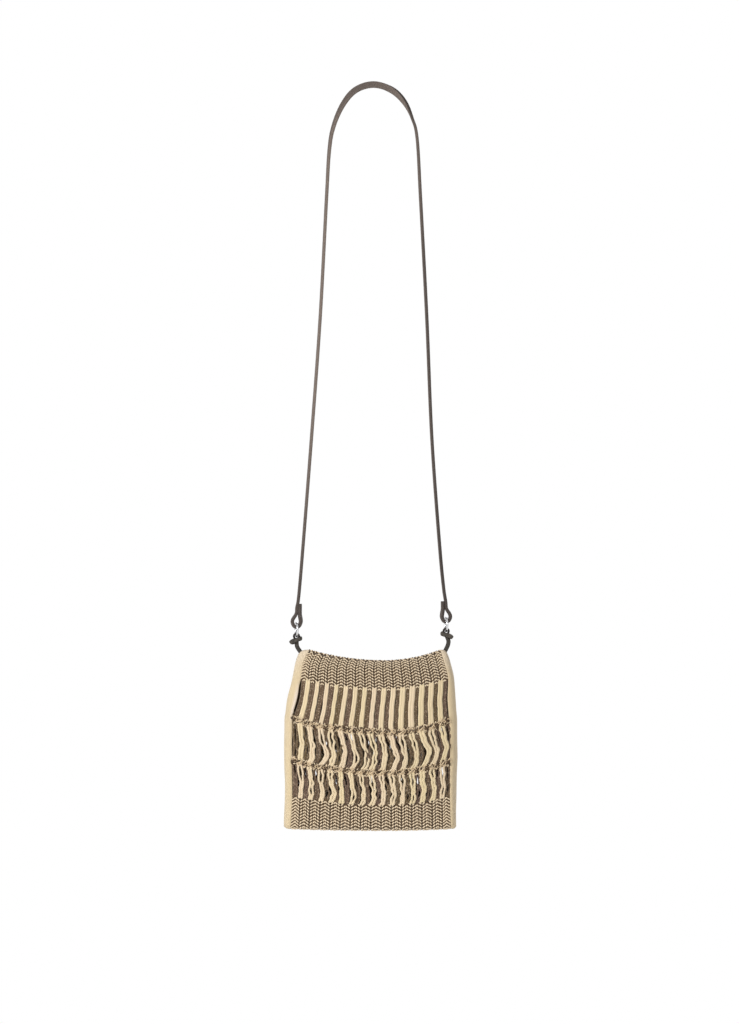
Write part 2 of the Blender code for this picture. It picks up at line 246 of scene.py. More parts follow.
def makeKnitGroup():
    group, given, out = newGroup(
        "knitStitches",
        {"Vector": "Vector", "Wale": 0.0015, "Course": 0.0012, "Slant": 1.1},
        {"Height": "Float", "Groove": "Float"},
    )
    parts = addNode(group, "SeparateXYZ", Vector=given["Vector"]).outputs
    across = maths(group, "DIVIDE", parts["X"], given["Wale"])
    down = maths(group, "DIVIDE", parts["Y"], given["Course"])
    fromMiddle = maths(group, "ABSOLUTE", maths(group, "SUBTRACT", maths(group, "FRACT", across), 0.5))
    slanted = maths(group, "ADD", down, maths(group, "MULTIPLY", fromMiddle, given["Slant"]))
    leg = maths(group, "SINE", maths(group, "MULTIPLY", maths(group, "FRACT", slanted), pi))
    # Each leg is highest half way out from the middle of its V
    ridge = maths(group, "SINE", maths(group, "MULTIPLY", fromMiddle, 2 * pi))
    leg = maths(group, "POWER", leg, knitting["legPower"])
    height = maths(group, "MULTIPLY", leg, maths(group, "POWER", ridge, knitting["ridgePower"]))
    group.links.new(height, out["Height"])
    # The groove is painted shade in the hollows between the legs, darkest where the stitch is lowest
    group.links.new(maths(group, "SUBTRACT", 1.0, height), out["Groove"])
    return group


fibres = {
    "speck": (0.53, 0.62),  # values of the noise between which a fleck comes up
    "patches": 90.0,  # to the metre
    "patch": (0.42, 0.75, 0.0, 0.35),  # between which a dull patch comes up, and how dull it is
    # grooveShade: how far the painted shade in the grooves between stitches runs to the shade colour
    "grooveShade": 0.85,
    "grainHeight": 0.35,  # beside a stitch's own height of 1
}


def makeFibreGroup():
    group, given, out = newGroup(
        "yarnFibres",
        {"Colour": "Color", "Fleck": "Color", "Shade": "Color", "Flecks": 0.3, "Height": 0.0, "Groove": 0.0,
         "Grain": 1400.0},
        {"Colour": "Color", "Height": "Float"},
    )
    place = objectPlace(group)
    grain = noiseAt(group, place, given["Grain"], 3.0, 0.6)
    patch = fit(group, noiseAt(group, place, fibres["patches"]), *fibres["patch"])
    flecks = maths(group, "MULTIPLY", fit(group, grain, *fibres["speck"]), given["Flecks"])
    colour = mixColours(group, flecks, given["Colour"], given["Fleck"])
    # Painted shade: the grooves between stitches run to the shade colour, as the random dull patches do
    paintedShade = maths(group, "MULTIPLY", given["Groove"], fibres["grooveShade"])
    colour = mixColours(group, maths(group, "MAXIMUM", patch, paintedShade), colour, given["Shade"])
    group.links.new(colour, out["Colour"])
    rough = maths(group, "MULTIPLY", grain, fibres["grainHeight"])
    group.links.new(maths(group, "ADD", given["Height"], rough), out["Height"])
    return group


leather = {
    "wornColour": (158, 144, 128),
    "wear": 160.0,  # patches to the metre
    "worn": (0.45, 0.8, 0.0, 0.3),  # values of the noise between which wear comes up, and how much it shows
    "roughness": (0.0, 1.0, 0.42, 0.66),
    "poreSlope": 4.0,
    "fibres": 1800.0,  # to the metre
    "fibreHeight": 0.4,  # beside a pore's depth of 1
    "bump": 0.00012,
}


def makeGrainGroup():
    group, given, out = newGroup(
        "leatherGrain",
        {"Colour": "Color", "Edge Colour": "Color", "Edge": 0.0, "Pores": 2200.0},
        {"Colour": "Color", "Roughness": "Float", "Height": "Float"},
    )
    place = objectPlace(group)
    pores = addNode(group, "TexVoronoi", {"feature": "DISTANCE_TO_EDGE"}, Vector=place,
                    Scale=given["Pores"]).outputs["Distance"]
    wear = noiseAt(group, place, leather["wear"], 4.0, 0.65)
    worn = fit(group, wear, *leather["worn"])
    pale = mixColours(group, worn, given["Colour"], srgb(*leather["wornColour"]))
    # Edge runs the colour to the edge colour: the cut edges, and on the strap painted shade as well
    colour = mixColours(group, given["Edge"], pale, given["Edge Colour"])
    group.links.new(colour, out["Colour"])
    group.links.new(fit(group, wear, *leather["roughness"]), out["Roughness"])
    raised = maths(group, "MINIMUM", maths(group, "MULTIPLY", pores, leather["poreSlope"]), 1.0)
    fuzz = maths(group, "MULTIPLY", noiseAt(group, place, leather["fibres"]), leather["fibreHeight"])
    group.links.new(maths(group, "ADD", raised, fuzz), out["Height"])
    return group


knitStitches = makeKnitGroup()
yarnFibres = makeFibreGroup()
leatherGrain = makeGrainGroup()


# The materials. Columns of a yarn: its colour, the one that some strands run to, its flecks, and the colour
# of its dull patches and of the painted shade in the grooves between stitches; share of flecks; a stitch's
# width and height on the UV map; depth of the bump; slant of a stitch's legs; and how many fibres there are
# to the metre
Yarn = namedtuple("Yarn", "colour other fleck shade flecks wale course bump slant grain")
yarns = {
    "darkYarn": Yarn((118, 93, 80), (118, 98, 64), (198, 174, 146), (56, 39, 26),
                     0.9, 0.0015, 0.0012, 0.00035, 1.1, 700.0),
    "creamYarn": Yarn((239, 219, 190), (234, 218, 173), (248, 234, 208), (196, 170, 134),
                      0.5, 0.0012, 0.0011, 0.00018, 1.1, 1400.0),
    "darkStitch": Yarn((112, 88, 62), (104, 83, 54), (152, 126, 94), (68, 48, 30),
                       0.5, 0.5, 0.35, 0.00012, 2.0, 1400.0),
    "creamStitch": Yarn((242, 223, 192), (232, 213, 176), (250, 236, 212), (200, 175, 140),
                        0.4, 0.5, 0.35, 0.00012, 2.0, 1400.0),
    "gussetKnit": Yarn((254, 241, 232), (226, 206, 167), (237, 221, 191), (202, 178, 139),
                       0.35, 0.0016, 0.0013, 0.00022, 1.1, 1400.0),
}
steel = {
    "bright": (246, 246, 247),
    "dull": (222, 223, 226),
    "scuffs": 900.0,  # to the metre
    "roughness": (0.0, 1.0, 0.16, 0.30),
    "bump": 0.00001,
}


def bumpFrom(tree, shader, height, distance):
    bump = addNode(tree, "Bump", Height=height, Distance=distance, Strength=1.0)
    tree.links.new(bump.outputs[0], shader.inputs["Normal"])


def makeYarn(name):
    # Knitted yarn; its colour runs to the other one by the tone that each strand carries
    look = yarns[name]
    made, tree, shader = newMaterial(name, 0.92, Sheen_Weight=0.25, Sheen_Roughness=0.5,
                                     Specular_IOR_Level=0.2)
    tone = addNode(tree, "Attribute", {"attribute_name": "tone"}).outputs["Fac"]
    uv = addNode(tree, "UVMap", {"uv_map": "UVMap"}).outputs["UV"]
    base = mixColours(tree, tone, srgb(*look.colour), srgb(*look.other))
    knit = useGroup(tree, knitStitches, Vector=uv, Wale=look.wale, Course=look.course, Slant=look.slant)
    spun = useGroup(
        tree, yarnFibres, Colour=base, Fleck=srgb(*look.fleck), Shade=srgb(*look.shade), Flecks=look.flecks,
        Height=knit.outputs["Height"], Groove=knit.outputs["Groove"], Grain=look.grain,
    )
    tree.links.new(spun.outputs["Colour"], shader.inputs["Base Color"])
    bumpFrom(tree, shader, spun.outputs["Height"], look.bump)
    return made


def makeLeather(name, colour, edgeColour):
    made, tree, shader = newMaterial(name, 0.5, Specular_IOR_Level=0.45)
    # The tone carries the cut edges and, on the strap, painted shade as well
    tone = addNode(tree, "Attribute", {"attribute_name": "tone"}).outputs["Fac"]
    grain = useGroup(tree, leatherGrain, Colour=colour, Edge_Colour=edgeColour, Edge=tone)
    tree.links.new(grain.outputs["Colour"], shader.inputs["Base Color"])
    tree.links.new(grain.outputs["Roughness"], shader.inputs["Roughness"])
    bumpFrom(tree, shader, grain.outputs["Height"], leather["bump"])
    return made


def makeSteel(name):
    made, tree, shader = newMaterial(name, 0.2, Metallic=1.0)
    scuffs = noiseAt(tree, objectPlace(tree), steel["scuffs"], 4.0)
    colour = mixColours(tree, scuffs, srgb(*steel["bright"]), srgb(*steel["dull"]))
    tree.links.new(colour, shader.inputs["Base Color"])
    tree.links.new(fit(tree, scuffs, *steel["roughness"]), shader.inputs["Roughness"])
    bumpFrom(tree, shader, scuffs, steel["bump"])
    return made


darkYarn, creamYarn, darkStitch, creamStitch, gussetKnit = (makeYarn(name) for name in yarns)
# The strap's dark edge colour is also the dark end of its painted shade
strapLeather = makeLeather("strapLeather", srgb(126, 112, 103), srgb(58, 49, 44))
laceLeather = makeLeather("laceLeather", srgb(58, 54, 47), srgb(38, 31, 28))
ringSteel = makeSteel("ringSteel")
print("materials made")


# The form that the cloth hangs in

form = {
    "gap": 0.0009,  # from the net's edge to its gusset, before the gusset closes on it
    "lowestAcross": 0.57,  # share of the width where the bag hangs lowest
    "crownPower": 2.6,  # how full the bag is from side to side
    "seamFade": 8,  # the higher, the nearer to the gussets the strands still swing
    "sag": 0.0030,  # how much lower the rows of knots hang than an even curve, where they hang lowest
    "footSwell": 0.0012,  # how far the gussets bow out under the base
    "step": 0.0008,  # down the cloth, to find its slope
    "shareStep": 0.004,  # and across it, as a share of the width
}
gap = form["gap"]
# Columns: height at the lowest place and at the ends, left and right edge, half of the depth in the middle
# and at the ends, how far the net stands off the left and the right gusset, and how far each gusset bows out
Level = namedtuple("Level", "zLow zEnds left right deep deepEnds gapLeft gapRight swellLeft swellRight")
levels = {  # from the mouth down to the middle of the base
    "rim": Level(-0.6143, -0.6030, -0.0674, 0.0728, 0.0105, 0.0050, gap, gap, 0.0104, 0.0060),
    "shoulder": Level(-0.6225, -0.6165, -0.0738, 0.0768, 0.0185, 0.0090, gap, gap, 0.0070, 0.0050),
    "stripesTop": Level(-0.6436, -0.6329, -0.0764, 0.0808, 0.0240, 0.0140, gap, gap, 0.0074, 0.0048),
    "stripesMiddle": Level(-0.6650, -0.6543, -0.0798, 0.0800, 0.0252, 0.0160, 0.0036, 0.0012, 0.0069, 0.0072),
    "knotsATop": Level(-0.6862, -0.6722, -0.0850, 0.0815, 0.0265, 0.0175, gap, gap, 0.0066, 0.0072),
    "knotsAEnd": Level(-0.6898, -0.6757, -0.0856, 0.0820, 0.0268, 0.0178, gap, gap, 0.0067, 0.0070),
    "knotsBTop": Level(-0.7300, -0.7167, -0.0861, 0.0828, 0.0275, 0.0190, gap, gap, 0.0068, 0.0066),
    "knotsBEnd": Level(-0.7336, -0.7203, -0.0861, 0.0828, 0.0275, 0.0190, gap, gap, 0.0068, 0.0065),
    "weltTop": Level(-0.7672, -0.7581, -0.0856, 0.0827, 0.0255, 0.0185, gap, gap, 0.0064, 0.0054),
    "hem": Level(-0.7905, -0.7885, -0.0870, 0.0835, 0.0235, 0.0180, gap, gap, 0.0060, 0.0044),
    "baseEdge": Level(-0.7938, -0.7920, -0.0872, 0.0835, 0.0195, 0.0150, gap, gap, 0.0056, 0.0043),
    "baseMiddle": Level(-0.7945, -0.7930, -0.0872, 0.0835, 0.0, 0.0, gap, gap, 0.0, 0.0),
}


def downsOf(chain, height, depth):
    # How far down the cloth each level lies, measured along it
    downs = [0.0]
    for a, b in zip(chain, chain[1:]):
        fall, run = getattr(b, height) - getattr(a, height), getattr(b, depth) - getattr(a, depth)
        downs.append(downs[-1] + hypot(fall, run))
    return downs


netChain = list(levels.values())
netDowns = downsOf(netChain, "zLow", "deep")
downTo = dict(zip(levels, netDowns))
foot = levels["baseMiddle"]._replace(deepEnds=levels["baseEdge"].deepEnds, swellLeft=form["footSwell"],
                                     swellRight=form["footSwell"])
gussetChain = netChain[:-1] + [foot]
gussetDowns = downsOf(gussetChain, "zEnds", "swellLeft")
levelCache = {}


def levelAt(chain, downs, down):
    # A smooth cubic curve through the levels, field by field
    key = (id(chain), round(down, 6))
    if key in levelCache:
        return levelCache[key]
    down = min(max(down, 0.0), downs[-1])
    i = max(k for k in range(len(downs) - 1) if downs[k] <= down)
    span = downs[i + 1] - downs[i]
    t = (down - downs[i]) / span
    before, after = max(i - 1, 0), min(i + 2, len(downs) - 1)
    values = []
    for field in range(len(chain[0])):
        a, b = chain[i][field], chain[i + 1][field]
        slopeA = (b - chain[before][field]) / (downs[i + 1] - downs[before]) * span
        slopeB = (chain[after][field] - a) / (downs[after] - downs[i]) * span
        keepA, swing = 2 * t**3 - 3 * t**2 + 1, t**3 - 2 * t**2 + t
        values.append(keepA * a + swing * slopeA + (1 - keepA) * b + (t**3 - t**2) * slopeB)
    levelCache[key] = Level(*values)
    return levelCache[key]


# Columns: level, and the share of the sag that the cloth has there
sagDown = (("stripesTop", 0.0), ("knotsATop", 1.0), ("knotsAEnd", 1.0), ("knotsBTop", 0.45),
           ("knotsBEnd", 0.45), ("weltTop", 0.0))
# Columns: share of the width, and the share of the sag there
sagAcross = ((0.0, 0.2), (0.13, 0.8), (0.3, 0.25), (0.5, 0.25), (0.7, 0.9), (0.88, 1.1), (1.0, 0.8))


def blendRows(rows, at):
    # Between two rows the value runs smoothly from one to the next
    for (start, a), (end, b) in zip(rows, rows[1:]):
        if start <= at <= end:
            part = (at - start) / (end - start)
            return a + (b - a) * part * part * (3 - 2 * part)
    return 0.0


sagRows = [(downTo[name], share) for name, share in sagDown]


def clothPoint(down, across, side, rise=0.0):
    # On the net's form; rise is out towards the front or the back
    level = levelAt(netChain, netDowns, down)
    lowest = form["lowestAcross"]
    reach = lowest if across < lowest else 1 - lowest
    z = level.zLow + (level.zEnds - level.zLow) * ((across - lowest) / reach) ** 2
    if side < 0:
        z -= form["sag"] * blendRows(sagRows, down) * blendRows(sagAcross, across)
    crown = 1 - min(abs(2 * across - 1), 1.0) ** form["crownPower"]
    depth = level.deepEnds + (level.deep - level.deepEnds) * crown + rise
    left, right = level.left, level.right
    if side > 0:  # at the back the cloth stays by its gussets
        left, right = left - level.gapLeft + form["gap"], right + level.gapRight - form["gap"]
    return Vector((left + (right - left) * across, side * depth, z))


def clothFrame(down, across, side):
    # The point with its three ways: across to the right, up the cloth, and out of it
    share = form["shareStep"]
    above, below = max(down - form["step"], 0), min(down + form["step"], netDowns[-1])
    middle = clothPoint(down, across, side)
    right = (clothPoint(down, across + share, side) - clothPoint(down, across - share, side)).normalized()
    up = clothPoint(above, across, side) - clothPoint(below, across, side)
    up = (up - right * up.dot(right)).normalized()
    out = right.cross(up) if side < 0 else up.cross(right)
    return middle, right, up, out.normalized()


# The net: one strip of cloth down the front, under the base and up the back

net = {
    "strands": 31,  # dark and cream in turn, dark at both edges
    "flatWide": 0.170,
    "darkWide": 1.14,  # width of a strand's place, against an even one
    "creamWide": 0.86,
    "darkFlat": 0.0066,  # the way round a strand's half, for the stitches on it
    "creamFlat": 0.0052,
    "thick": 0.0020,
    "around": 10,  # faces round a strand's half
    "along": 24,  # and down it
    "backAround": 8,
    "backAlong": 16,
    "tuck": 0.0016,  # how far a strand's ends run in under the knitting
    "swayPeak": 1.67,  # puts the widest swing two thirds of the way down
    "tight": 0.35,  # how softly the top band's strands hang, against 1 for the two under it
    "turn": 22,  # degrees that a strand turns on its way down, at most
    "tightTurn": 6,
    "roll": 30,  # degrees that its halves roll
    "tip": 0.03,  # share of the length over which each end closes
    "edgePower": 0.8,  # the lower, the squarer a half's edges are
    "waist": 0.10,
    "lumps": 0.22,
    "wander": 1.8,
    "crinkle": 0.9,
    "backShift": 0.0028,  # the back's strands swing clear of the gaps between the front's
    "backSway": 0.4,
    "backFill": 1.30,
    "driftFrom": 0.40,  # share of the width where the front's cream strands start to widen
    "driftOver": 0.25,
    "creamDrift": 1.1,
    "frontSlots": 0.7,  # share of the strands whose halves stand apart at the top, on the front
    "backSlots": 0.18,
    "slotStart": 0.07,
    "lowSlots": 0.3,  # and of those that open once more lower down
    "lowSlot": 0.8,
    "lowLong": 0.26,
    "pulled": 0.0009,  # how far the first strand of the top band stands off the left gusset
    "pulledFill": 0.80,
    "closedAcross": 62,  # faces across the closed cloth under the raised stitches
    "closedInset": 0.0006,
    "baseThick": 0.0012,
    "rimDrop": 0.0014,  # how much lower the back's rim hangs than the front's
    "seed": 11,
}
# The ranges from which each strand draws its own factors
strandRanges = {
    "phase": (0, 6.28),
    "sway": (0.7, 1.2),
    "fill": (0.93, 1.07),
    "bow": (0.7, 1.25),
    "slot": (0.5, 1.5),
    "meet": (0.75, 1.35),
    "lowStart": (0.55, 0.68),
}
# Columns: steps in the noise from strand to strand, from half to half, down the strand, from the front to the
# back, and once more from half to half
Ripple = namedtuple("Ripple", "strand limb down side limbToo")
ripples = {
    "wander": Ripple(7.3, 0.0, 5.0, 3.1, 0.0),
    "crinkle": Ripple(3.7, 0.0, 13.0, 1.0, 2.4),
    "lumps": Ripple(5.1, 1.0, 7.0, 1.0, 0.0),
    "waves": Ripple(2.9, 0.0, 6.0, 4.0, 0.0),
}
# Columns: first and last level, swing to the right, belly, spread of the two halves, share of the height at
# which they have met, how much of its place a dark and a cream strand fill, how much more the cream ones fill
# towards the right, how far the cream ones lie in front, and how unevenly it all hangs
Open = namedtuple("Open", "top end sway bow slot meet darkFill creamFill drift lift uneven")
openBands = (
    Open("stripesTop", "knotsATop", 0.0000, 0.0000, 0.0002, 0.45, 0.91, 1.04, 0.25, 0.0009, 0.00025),
    Open("knotsAEnd", "knotsBTop", 0.0058, 0.0036, 0.0016, 0.46, 0.98, 1.18, 0.03, 0.0016, 0.0011),
    Open("knotsBEnd", "weltTop", 0.0026, 0.0028, 0.0016, 0.46, 0.96, 1.14, 0.03, 0.0015, 0.0010),
)


def strandPlaces():
    # The middle and the width of each strand, as shares of the cloth's width
    widths = [net["creamWide"] if strand % 2 else net["darkWide"] for strand in range(net["strands"])]
    total, reached, places = sum(widths), 0.0, []
    for width in widths:
        places.append(((reached + width / 2) / total, width / total))
        reached += width
    return places


strands = strandPlaces()


def rippleAt(kind, strand, limb, v, side):
    row = ripples[kind]
    return noise.noise(Vector((strand * row.strand + limb * row.limb, v * row.down,
                               side * row.side + limb * row.limbToo)))


def fillOf(band, dark, middle, side):
    # How much of its place a strand fills; on the front the cream ones widen to the right of the middle
    if side > 0:
        return net["backFill"]
    right = min(1.0, max(0.0, (middle - net["driftFrom"]) / net["driftOver"]))
    if dark:
        return band.darkFill - band.drift * right
    return band.creamFill + net["creamDrift"] * band.drift * right


def layStrand(bm, strand, side, band, dice):
    # A strand is two soft halves that leave the knots apart and then lie side by side
    middle, share = strands[strand]
    start, end = downTo[band.top] - net["tuck"], downTo[band.end] + net["tuck"]
    dark, loose = strand % 2 == 0, band.sway > 0

    def draw(name):
        return dice.uniform(*strandRanges[name])

    phase, tone = draw("phase"), dice.random()
    sway = band.sway * draw("sway") * (0.75 + 0.5 * middle) + band.uneven * dice.uniform(-1, 1)
    if side > 0:
        sway = net["backShift"] - net["backSway"] * sway
    fill = fillOf(band, dark, middle, side) * draw("fill")
    pulled = net["pulled"] if strand == 0 and side < 0 and not loose else 0.0
    if pulled:
        fill *= net["pulledFill"]
    bow = band.bow * draw("bow")
    split = dice.random() < (net["frontSlots"] if side < 0 else net["backSlots"])
    slot = band.slot * draw("slot") * split
    meet = band.meet * draw("meet")
    lowSlot = net["lowSlot"] * band.slot * (dice.random() < net["lowSlots"]) * (side < 0)
    lowStart = draw("lowStart")
    lean = band.uneven * dice.uniform(-1, 1)
    lift = -0.4 * band.lift if dark else 0.6 * band.lift
    turn = radians(net["turn"] if loose else net["tightTurn"]) * dice.uniform(-1, 1)
    edge = 1 - abs(2 * middle - 1) ** form["seamFade"]
    soft = 1.0 if loose else net["tight"]

    def apart(v):
        # How far the two halves stand apart
        if net["slotStart"] < v < meet:
            return slot * sin(pi * (v - net["slotStart"]) / (meet - net["slotStart"]))
        if lowStart < v < lowStart + net["lowLong"]:
            return lowSlot * sin(pi * (v - lowStart) / net["lowLong"])
        return 0.0

    for limb in (-1, 1):
        def place(u, v):
            down = start + (end - start) * v
            level = levelAt(netChain, netDowns, down)
            across = level.right - level.left
            half = share * across * fill / 2
            mid = sin(pi * v)
            wander = rippleAt("wander", strand, limb, v, side)
            crinkle = rippleAt("crinkle", strand, limb, v, side)
            lumps = rippleAt("lumps", strand, limb, v, side)
            full = 1 - net["waist"] * mid * soft + net["lumps"] * soft * lumps
            uneven = net["wander"] * wander * mid + net["crinkle"] * crinkle * min(1.0, 3 * mid)
            centre = edge * (sway * sin(pi * v ** net["swayPeak"])
                             + lean * sin(2 * pi * v + phase) * mid + band.uneven * uneven)
            centre += pulled * mid + limb * (half * (0.38 + 0.12 * soft) * full + apart(v) / 2)
            limbHalf = half * full * (0.66 - 0.08 * soft - 0.10 * min(1.0, apart(v) / 0.001))
            tip = sqrt(max(0.0, min(1.0, min(v, 1 - v) / net["tip"])))
            angle = 2 * pi * u
            roll = turn * mid + radians(net["roll"]) * soft * mid * wander
            x = limbHalf * tip * copysign(abs(cos(angle)) ** net["edgePower"], cos(angle))
            y = net["thick"] / 2 * tip * sin(angle)
            x, y = x * cos(roll) - y * sin(roll), y * cos(roll) + x * sin(roll)
            waves = 0.9 * band.uneven * rippleAt("waves", strand, limb, v, side) * mid
            rise = lift + bow * edge * mid + waves + y
            return clothPoint(down, middle + (centre + x) / across, side, rise), tone

        around, along = (net["around"], net["along"]) if side < 0 else (net["backAround"], net["backAlong"])
        flat = net["darkFlat"] if dark else net["creamFlat"]
        layGrid(bm, around, along, place, (flat, end - start), 0 if dark else 1)


def layBand(bm, top, end, rows):
    # The closed cloth under the raised stitches, front and back
    for side in (-1, 1):
        first = downTo[top] + (net["rimDrop"] if side > 0 and top == "rim" else 0.0)

        def place(u, v):
            return clothPoint(first + (downTo[end] - first) * v, u, side, -net["closedInset"]), 0.5

        faces = layGrid(bm, net["closedAcross"], rows, place, (net["flatWide"], downTo[end] - downTo[top]))
        bmesh.ops.recalc_face_normals(bm, faces=faces)
        bmesh.ops.solidify(bm, geom=faces, thickness=net["baseThick"])


def makeNetCloth():
    dice = random.Random(net["seed"])
    bm = newBmesh()
    for side in (-1, 1):
        for band in openBands:
            for strand in range(net["strands"]):
                layStrand(bm, strand, side, band, dice)
    mergeSeams(bm)
    layBand(bm, "rim", "stripesTop", 8)
    layBand(bm, "knotsATop", "knotsAEnd", 1)
    layBand(bm, "knotsBTop", "knotsBEnd", 1)
    layBand(bm, "weltTop", "baseMiddle", 12)
    return newObject("netCloth", bm, [darkYarn, creamYarn])


# Raised knitting on the closed bands: wide chevrons of four yarn legs, cream and dark rows in turn

stitch = {
    "row": 0.0032,  # from one cream row down to the next
    "first": -0.0018,  # where the first row of peaks starts, from the edge of its band
    "over": 0.0020,  # how far the top band's stitches reach over the strands
    "short": 0.0002,  # and how far the base's end before its middle line
    "spill": 0.0006,  # how far past those edges a leg may still lie
    "rimBeads": 5,  # in each column, along the rim
    "rimIn": 0.0003,
    "rimLean": (35, 75),  # degrees, to either side
    "plainWide": 0.152,  # where the bag is this wide the legs have their own length
    "long": 0.0034,
    "thick": 0.00155,
    "darkThick": 0.0015,
    "flat": 0.9,  # depth of a leg against its thickness
    "fuller": 0.25,  # how much thicker its upper end is than its lower one
    "creamRise": 0.00065,
    "darkRise": 0.0001,
    "drift": 0.00015,  # how far a leg slips up or down
    "uneven": 5,  # degrees
    "samples": 48,  # down a column, to measure the cloth there
    "seed": 23,
}
# The legs of one chevron: one leaning wale, a peak of two short legs, and a wale that leans back. Columns:
# middle as a share of its column's width, down from the peak, degrees that the leg leans, rise over the
# cloth, and length as a share of the whole one
Leg = namedtuple("Leg", "share down lean rise long")
legs = (
    Leg(-0.345, 0.0022, 42, 0.0003, 1.03),
    Leg(-0.090, 0.0008, 48, 0.0004, 0.82),
    Leg(0.075, 0.0008, -48, 0.0003, 0.82),
    Leg(0.325, 0.0022, -42, 0.0001, 1.03),
)


def beadMesh(name, length, thick, slot):
    # One leg of yarn
    bm = bmesh.new()
    bm.loops.layers.uv.new("UVMap")
    bmesh.ops.create_uvsphere(bm, u_segments=6, v_segments=4, radius=0.5, calc_uvs=True)
    for vert in bm.verts:
        full = 1.0 + stitch["fuller"] * vert.co.z
        vert.co = (vert.co.x * thick * full, vert.co.y * thick * stitch["flat"] * full, vert.co.z * length)
    for face in bm.faces:
        face.material_index = slot
        face.smooth = True
    mesh = bpy.data.meshes.new(name)
    bm.to_mesh(mesh)
    bm.free()
    return mesh


def placeBead(bm, bead, middle, right, up, out, slantDegrees, stretch=1.0):
    turned = Matrix((right, out, up)).transposed().to_4x4()
    matrix = Matrix.Translation(middle) @ turned @ Matrix.Rotation(radians(slantDegrees), 4, "Y")
    matrix = matrix @ Matrix.Diagonal((1.0, 1.0, stretch, 1.0))
    copy = bead.copy()
    copy.transform(matrix)
    bm.from_mesh(copy)
    bpy.data.meshes.remove(copy)


def dropBeads(beads):
    for bead in beads:
        bpy.data.meshes.remove(bead)


def columnEdges():
    # A column is a dark strand with half of the cream one on each side
    return [0.0] + [strands[strand][0] for strand in range(1, net["strands"], 2)] + [1.0]


def evenRows(first, last, across, side):
    # How far down the rows of one column lie, from its foot up, at even distances as measured on the cloth,
    # and how much shorter the way down the cloth's lowest line is than the way there
    steps, pitch = stitch["samples"], stitch["row"] / 2
    downs = [last - (last - first) * k / steps for k in range(steps + 1)]
    reached = lengthsAlong([clothPoint(down, across, side) for down in downs])
    rows, k = [], 0
    for row in range(int(reached[-1] / pitch) + 1):
        while reached[k + 1] < row * pitch and k < steps - 1:
            k += 1
        part = (row * pitch - reached[k]) / (reached[k + 1] - reached[k])
        rows.append(downs[k] + (downs[k + 1] - downs[k]) * part)
    return rows, (last - first) / reached[-1]


def makeStitches(name, side):
    dice = random.Random(stitch["seed"] + side)
    bm = bmesh.new()
    bm.loops.layers.uv.new("UVMap")
    beads = (
        beadMesh("darkBead", stitch["long"], stitch["darkThick"], 0),
        beadMesh("creamBead", stitch["long"], stitch["thick"], 1),
    )
    edges = columnEdges()
    rim = net["rimDrop"] if side > 0 else 0.0
    for left, right in zip(edges, edges[1:]):
        for k in range(stitch["rimBeads"]):
            across = left + (right - left) * (k + 0.5) / stitch["rimBeads"]
            middle, way, up, out = clothFrame(rim + stitch["rimIn"], across, side)
            lean = dice.choice((-1, 1)) * dice.uniform(*stitch["rimLean"])
            placeBead(bm, beads[k % 3 == 1], middle + up * stitch["rimIn"], way, up, out, lean)
    bands = (
        (rim, downTo["stripesTop"] + stitch["over"]),
        (downTo["weltTop"], downTo["baseMiddle"] - stitch["short"]),
    )
    for starts, last in bands:
        first = starts + stitch["first"]
        half = levelAt(netChain, netDowns, (first + last) / 2)
        stretch = (half.right - half.left) / stitch["plainWide"]
        for left, right in zip(edges, edges[1:]):
            rows, shrink = evenRows(first, last, (left + right) / 2, side)
            for row, peak in enumerate(rows):
                cream = row % 2 == 1
                for leg in legs:
                    across = (left + right) / 2 + leg.share * (right - left)
                    down = peak + leg.down * shrink + dice.uniform(-stitch["drift"], stitch["drift"])
                    if down > last + stitch["spill"] or down < starts + stitch["spill"]:
                        continue
                    middle, way, up, out = clothFrame(min(down, last), across, side)
                    middle += out * (leg.rise + (stitch["creamRise"] if cream else stitch["darkRise"]))
                    lean = leg.lean + dice.uniform(-stitch["uneven"], stitch["uneven"])
                    slant = copysign(90, lean) - lean
                    placeBead(bm, beads[cream], middle, way, up, out, slant, stretch * leg.long)
    dropBeads(beads)
    return newObject(name, bm, [darkStitch, creamStitch])


# The two rows of knots: a dark and a cream yarn twisted round each other, with loops and ends of both on top

knots = {
    "twist": 0.0016,  # from the row's middle line to a yarn's
    "yarn": 0.0010,
    "wobble": 0.5,  # radians, by which the twist runs ahead and falls back
    "wobbles": 40,
    "turnFaces": 6,  # along each strand's width
    "loops": 92,  # in a row, on each side of the bag
    "loop": 0.0020,
    "loopRange": (0.7, 1.15),
    "loopFlat": 0.75,
    "loopYarn": 0.0006,
    "loopRise": 0.0012,
    "loopLift": (-0.0003, 0.0005),
    "loopTilt": (5, 50),  # degrees
    "loopSpin": (0, 6.28),  # radians
    "loopDrift": 0.0020,  # how far a loop sits over or under the row's middle line
    "driftFall": 0.4,  # share of that by which it lies back
    "ends": 104,  # short ends of yarn over the loops, and as many under them
    "endLong": 0.0033,
    "endThick": 0.0013,
    "endLift": (-0.0002, 0.0008),
    "endTurn": 80,  # degrees, to either side
    "endCream": 0.6,  # share of the ends that are cream
    "spread": 0.0033,  # of the ends over and under the row's middle line
    "spreadRange": (0.6, 1.2),
    "rise": 0.0013,
    "dip": 0.0008,  # how far the row's middle hangs under the cloth's own level
    "seed": 7,
}


def layTwist(bm, down, side, dice):
    for slot, start in ((0, 0.0), (1, pi)):
        wobble = dice.uniform(0, 6)

        def place(u, v):
            turn = start + pi * net["strands"] * v
            turn += knots["wobble"] * sin(v * knots["wobbles"] + wobble)
            angle = 2 * pi * u
            along = down + knots["twist"] * cos(turn) + knots["yarn"] * cos(angle)
            rise = knots["rise"] + knots["twist"] * sin(turn) + knots["yarn"] * sin(angle)
            return clothPoint(along, min(max(v, 0.0), 1.0), side, rise), 0.5

        layGrid(bm, 6, net["strands"] * knots["turnFaces"], place, (0.005, 0.2), slot)


